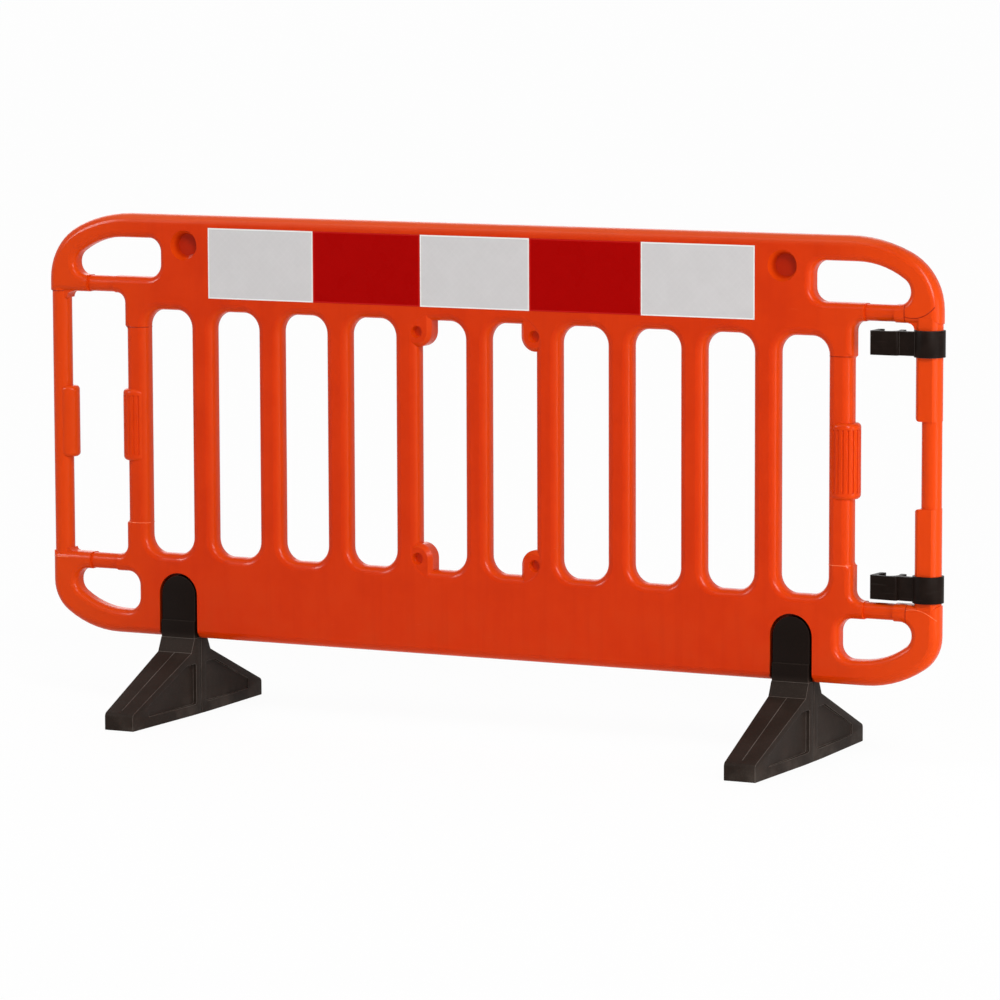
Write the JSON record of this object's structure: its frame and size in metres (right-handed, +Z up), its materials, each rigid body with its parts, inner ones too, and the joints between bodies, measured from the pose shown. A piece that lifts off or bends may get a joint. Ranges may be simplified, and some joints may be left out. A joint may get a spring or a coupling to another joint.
{
  "type": "pedestrian barrier panel",
  "caption": "Orange plastic pedestrian barrier panel with upright slots, a reflective strip, push-in feet and swinging end clips that grip the next panel's post.",
  "frame": {"origin": "on the ground, under the middle of the panel", "axes": "+X along the panel towards the clips, +Y from front to rear, +Z up"},
  "size_m": [2.0028, 0.54, 1.04],
  "materials": {
    "orange_plastic": "moulded, lightly grained",
    "white_sheet": "retroreflective sheet",
    "red_sheet": "retroreflective sheet",
    "foot_plastic": "dull recycled plastic",
    "clip_plastic": "moulded, dull"
  },
  "bodies": {
    "panel": {"panel_moulding": "orange_plastic", "front_sheet_1": "white_sheet", "front_sheet_2": "red_sheet", "front_sheet_3": "white_sheet", "front_sheet_4": "red_sheet", "front_sheet_5": "white_sheet", "rear_sheet_1": "white_sheet", "rear_sheet_2": "red_sheet", "rear_sheet_3": "white_sheet", "rear_sheet_4": "red_sheet", "rear_sheet_5": "white_sheet"},
    "left_foot_body": {"left_foot": "foot_plastic"},
    "right_foot_body": {"right_foot": "foot_plastic"},
    "upper_clip_body": {"upper_clip": "clip_plastic"},
    "lower_clip_body": {"lower_clip": "clip_plastic"}
  },
  "joints": [
    {"name": "upper_clip_swing", "type": "hinge", "parent": "panel", "child": "upper_clip_body", "pos_m": [0.972, 0, 0.835], "axis": [0, 0, 1], "continuous": true},
    {"name": "lower_clip_swing", "type": "hinge", "parent": "panel", "child": "lower_clip_body", "pos_m": [0.972, 0, 0.357], "axis": [0, 0, 1], "continuous": true},
    {"name": "left_foot_slide", "type": "slide", "parent": "panel", "child": "left_foot_body", "axis": [0, 0, -1], "range_m": [0, 0.14]},
    {"name": "right_foot_slide", "type": "slide", "parent": "panel", "child": "right_foot_body", "axis": [0, 0, -1], "range_m": [0, 0.14]}
  ]
}
